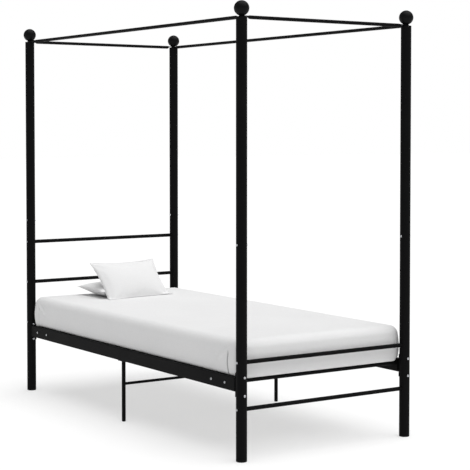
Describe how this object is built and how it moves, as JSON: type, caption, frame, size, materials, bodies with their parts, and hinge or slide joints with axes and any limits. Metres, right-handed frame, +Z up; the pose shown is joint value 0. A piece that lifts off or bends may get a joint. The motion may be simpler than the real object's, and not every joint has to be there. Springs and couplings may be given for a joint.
{
  "type": "four poster canopy bed",
  "caption": "Canopy bed in black steel tube with tall posts under ball finials, thin canopy rails, tube head and foot ends, side rails, slats, a mattress in a fitted sheet and small pillows.",
  "frame": {"origin": "on the floor under the middle of the bed", "axes": "+Z up, +Y along the bed towards the head end, +X across the bed, to the right of a person who stands at the foot end and looks at the head end"},
  "size_m": [0.9746, 2.0976, 1.9604],
  "materials": {
    "black_steel": "satin black powder coat",
    "black_plastic": "moulded black plastic",
    "black_ball": "satin moulded ball",
    "zinc_steel": "zinc plated fastener steel",
    "sheet_fabric": "white cotton fitted sheet over a foam mattress",
    "pillow_fabric": "white cotton pillowcase over soft filling"
  },
  "bodies": {
    "root": {"post_lower_head_left": "black_steel", "post_upper_head_left": "black_steel", "foot_cap_head_left": "black_plastic", "ball_finial_head_left": "black_ball", "bracket_head_left": "black_steel", "bracket_bolt_upper_head_left": "zinc_steel", "bracket_bolt_lower_head_left": "zinc_steel", "post_lower_head_right": "black_steel", "post_upper_head_right": "black_steel", "foot_cap_head_right": "black_plastic", "ball_finial_head_right": "black_ball", "bracket_head_right": "black_steel", "bracket_bolt_upper_head_right": "zinc_steel", "bracket_bolt_lower_head_right": "zinc_steel", "post_lower_foot_left": "black_steel", "post_upper_foot_left": "black_steel", "foot_cap_foot_left": "black_plastic", "ball_finial_foot_left": "black_ball", "bracket_foot_left": "black_steel", "bracket_bolt_upper_foot_left": "zinc_steel", "bracket_bolt_lower_foot_left": "zinc_steel", "post_lower_foot_right": "black_steel", "post_upper_foot_right": "black_steel", "foot_cap_foot_right": "black_plastic", "ball_finial_foot_right": "black_ball", "bracket_foot_right": "black_steel", "bracket_bolt_upper_foot_right": "zinc_steel", "bracket_bolt_lower_foot_right": "zinc_steel", "canopy_rail_head": "black_steel", "head_rail_lower": "black_steel", "head_rail_middle": "black_steel", "head_rail_upper": "black_steel", "end_tube_head": "black_steel", "slat_head_1": "black_steel", "slat_head_2": "black_steel", "slat_head_3": "black_steel", "slat_head_4": "black_steel", "slat_head_5": "black_steel", "canopy_rail_foot": "black_steel", "foot_rail_lower": "black_steel", "foot_rail_upper": "black_steel", "end_tube_foot": "black_steel", "slat_foot_1": "black_steel", "slat_foot_2": "black_steel", "slat_foot_3": "black_steel", "slat_foot_4": "black_steel", "slat_foot_5": "black_steel", "canopy_rail_left": "black_steel", "side_rail_left_head": "black_steel", "side_rail_left_foot": "black_steel", "centre_leg_left": "black_steel", "canopy_rail_right": "black_steel", "side_rail_right_head": "black_steel", "side_rail_right_foot": "black_steel", "centre_leg_right": "black_steel", "leg_stretcher": "black_steel"},
    "mattress": {"mattress": "sheet_fabric"},
    "pillow_back": {"pillow_back": "pillow_fabric"},
    "pillow_front": {"pillow_front": "pillow_fabric"}
  },
  "joints": [
    {"name": "mattress_lift", "type": "slide", "parent": "root", "child": "mattress", "axis": [0, 0, 1], "range_m": [0, 0.25]},
    {"name": "pillow_back_lift", "type": "slide", "parent": "mattress", "child": "pillow_back", "axis": [0, 0, 1], "range_m": [0, 0.2]},
    {"name": "pillow_front_lift", "type": "slide", "parent": "pillow_back", "child": "pillow_front", "axis": [0, 0, 1], "range_m": [0, 0.2]}
  ]
}
